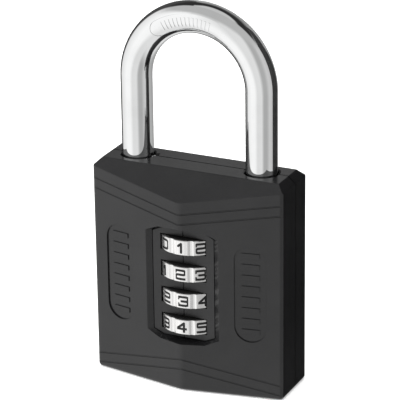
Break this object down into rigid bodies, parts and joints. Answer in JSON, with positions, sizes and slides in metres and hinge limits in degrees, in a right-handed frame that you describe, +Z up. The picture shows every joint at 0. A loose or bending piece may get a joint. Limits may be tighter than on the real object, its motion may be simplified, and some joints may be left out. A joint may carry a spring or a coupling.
{
  "type": "combination padlock",
  "caption": "Combination padlock: black folded-front plastic body, column of silver number dials in a bevelled window, and a lifting chromed steel shackle.",
  "frame": {"origin": "on the base, midway between the shackle legs, in the plane of both legs, where the two covers part", "axes": "+Z up along the shackle legs, +X to the reader's right of the dials, -Y out of the dial face"},
  "size_m": [0.0516, 0.0241, 0.0986],
  "materials": {
    "cover_plastic": "black moulded plastic with a soft gloss",
    "panel_plastic": "black moulded plastic, fine satin",
    "wheel_plastic": "black moulded acetal",
    "band_metal": "satin silver with black filled numerals",
    "shackle_chrome": "polished chrome on hardened steel",
    "die_cast_zinc": "as-cast zinc alloy",
    "plated_steel": "zinc-plated pressed steel",
    "screw_steel": "plated screw steel",
    "spindle_steel": "turned and milled steel",
    "spring_steel": "drawn spring steel",
    "hub_brass": "turned brass"
  },
  "bodies": {
    "body": {"front_cover": "cover_plastic", "rear_cover": "cover_plastic", "window_panel": "panel_plastic", "lock_core": "die_cast_zinc", "base_plate": "plated_steel", "base_plate_screws": "screw_steel", "lift_spring": "spring_steel", "change_comb_spring": "spring_steel", "detent_spring": "spring_steel"},
    "shackle_unit": {"shackle": "shackle_chrome", "lift_plate": "plated_steel", "spindle": "spindle_steel", "spindle_clip": "spring_steel"},
    "comb": {"change_comb": "plated_steel"},
    "dial_1": {"number_band_1": "band_metal", "dial_wheel_1": "wheel_plastic"},
    "hub_1": {"clutch_hub_1": "hub_brass"},
    "dial_2": {"number_band_2": "band_metal", "dial_wheel_2": "wheel_plastic"},
    "hub_2": {"clutch_hub_2": "hub_brass"},
    "dial_3": {"number_band_3": "band_metal", "dial_wheel_3": "wheel_plastic"},
    "hub_3": {"clutch_hub_3": "hub_brass"},
    "dial_4": {"number_band_4": "band_metal", "dial_wheel_4": "wheel_plastic"},
    "hub_4": {"clutch_hub_4": "hub_brass"}
  },
  "joints": [
    {"name": "shackle_lift", "type": "slide", "parent": "body", "child": "shackle_unit", "axis": [0, 0, 1], "range_m": [0, 0.0098], "deforming": ["lift_spring"]},
    {"name": "code_change", "type": "slide", "parent": "body", "child": "comb", "axis": [0, 0, -1], "range_m": [0, 0.0016], "stiffness_N_per_m": 500, "springref_m": -0.002, "deforming": ["change_comb_spring"]},
    {"name": "dial_1_turn", "type": "hinge", "parent": "body", "child": "dial_1", "pos_m": [0, -0.00422, 0.03886], "axis": [0, 0, 1], "continuous": true, "deforming": ["detent_spring"]},
    {"name": "hub_1_shift", "type": "slide", "parent": "dial_1", "child": "hub_1", "axis": [0, 0, -1], "range_m": [0, 0.0016]},
    {"name": "dial_2_turn", "type": "hinge", "parent": "body", "child": "dial_2", "pos_m": [0, -0.00422, 0.03174], "axis": [0, 0, 1], "continuous": true},
    {"name": "hub_2_shift", "type": "slide", "parent": "dial_2", "child": "hub_2", "axis": [0, 0, -1], "range_m": [0, 0.0016]},
    {"name": "dial_3_turn", "type": "hinge", "parent": "body", "child": "dial_3", "pos_m": [0, -0.00422, 0.02462], "axis": [0, 0, 1], "continuous": true},
    {"name": "hub_3_shift", "type": "slide", "parent": "dial_3", "child": "hub_3", "axis": [0, 0, -1], "range_m": [0, 0.0016]},
    {"name": "dial_4_turn", "type": "hinge", "parent": "body", "child": "dial_4", "pos_m": [0, -0.00422, 0.0175], "axis": [0, 0, 1], "continuous": true},
    {"name": "hub_4_shift", "type": "slide", "parent": "dial_4", "child": "hub_4", "axis": [0, 0, -1], "range_m": [0, 0.0016]}
  ],
  "couplings": [
    {"joint": "hub_1_shift", "follows": "code_change", "ratio": 1},
    {"joint": "hub_2_shift", "follows": "code_change", "ratio": 1},
    {"joint": "hub_3_shift", "follows": "code_change", "ratio": 1},
    {"joint": "hub_4_shift", "follows": "code_change", "ratio": 1}
  ]
}
